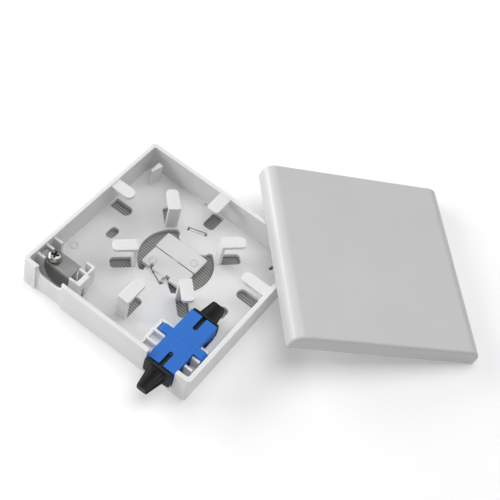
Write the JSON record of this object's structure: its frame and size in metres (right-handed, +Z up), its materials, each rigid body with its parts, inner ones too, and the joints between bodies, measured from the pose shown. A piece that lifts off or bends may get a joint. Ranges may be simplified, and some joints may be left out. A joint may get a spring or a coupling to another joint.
{
  "type": "fiber termination box",
  "caption": "Square wall outlet tray for optical fibre with a coupling adapter, dust caps, cable clamp, splice holder and ring posts, its push-on cover leaning beside it.",
  "frame": {"origin": "middle of the whole part's bounding box, on the table plane under the tray's mounting face", "axes": "+Z up, away from the tray's mounting face; +X runs along the tray's front wall from the cable notch to the adapter; +Y runs from the front wall to the back wall. The cover lies at +X +Y."},
  "size_m": [0.1636, 0.1687, 0.0225],
  "materials": {
    "tray_white": "moulded white ABS, fine matt",
    "cover_white": "moulded white ABS, satin",
    "adapter_blue": "blue PBT, satin",
    "insert_ivory": "natural moulded plastic",
    "sleeve_ceramic": "polished zirconia, white",
    "cap_black": "soft black polyethylene",
    "clamp_sheet": "pressed zinc-plated sheet",
    "screw_plated": "nickel-plated steel"
  },
  "bodies": {
    "tray": {"tray": "tray_white", "splice_holder": "tray_white", "clamp_bracket": "clamp_sheet"},
    "cover": {"cover": "cover_white"},
    "adapter": {"adapter_shell_front": "adapter_blue", "adapter_shell_rear": "adapter_blue", "adapter_insert_front": "insert_ivory", "adapter_insert_rear": "insert_ivory", "adapter_sleeve": "sleeve_ceramic"},
    "front_cap": {"dust_cap_front": "cap_black"},
    "rear_cap": {"dust_cap_rear": "cap_black"},
    "washer": {"clamp_washer": "screw_plated"},
    "screw": {"clamp_screw": "screw_plated"}
  },
  "joints": [
    {"name": "cover_lift", "type": "slide", "parent": "tray", "child": "cover", "axis": [0, 0, 1], "range_m": [0, 0.06]},
    {"name": "adapter_lift", "type": "slide", "parent": "tray", "child": "adapter", "axis": [0, 0, 1], "range_m": [0, 0.014]},
    {"name": "dust_cap_front_pull", "type": "slide", "parent": "adapter", "child": "front_cap", "axis": [0, -1, 0], "range_m": [0, 0.012]},
    {"name": "dust_cap_rear_pull", "type": "slide", "parent": "adapter", "child": "rear_cap", "axis": [0, 1, 0], "range_m": [0, 0.009]},
    {"name": "clamp_washer_lift", "type": "slide", "parent": "tray", "child": "washer", "axis": [0, 0, 1], "range_m": [0, 0.002]},
    {"name": "clamp_screw_turn", "type": "hinge", "parent": "washer", "child": "screw", "pos_m": [-0.0737, -0.0638, 0.013], "axis": [0, 0, 1], "range_deg": [0, 1440]}
  ],
  "couplings": [
    {"joint": "clamp_screw_turn", "follows": "clamp_washer_lift", "rad_per_m": 12566}
  ]
}
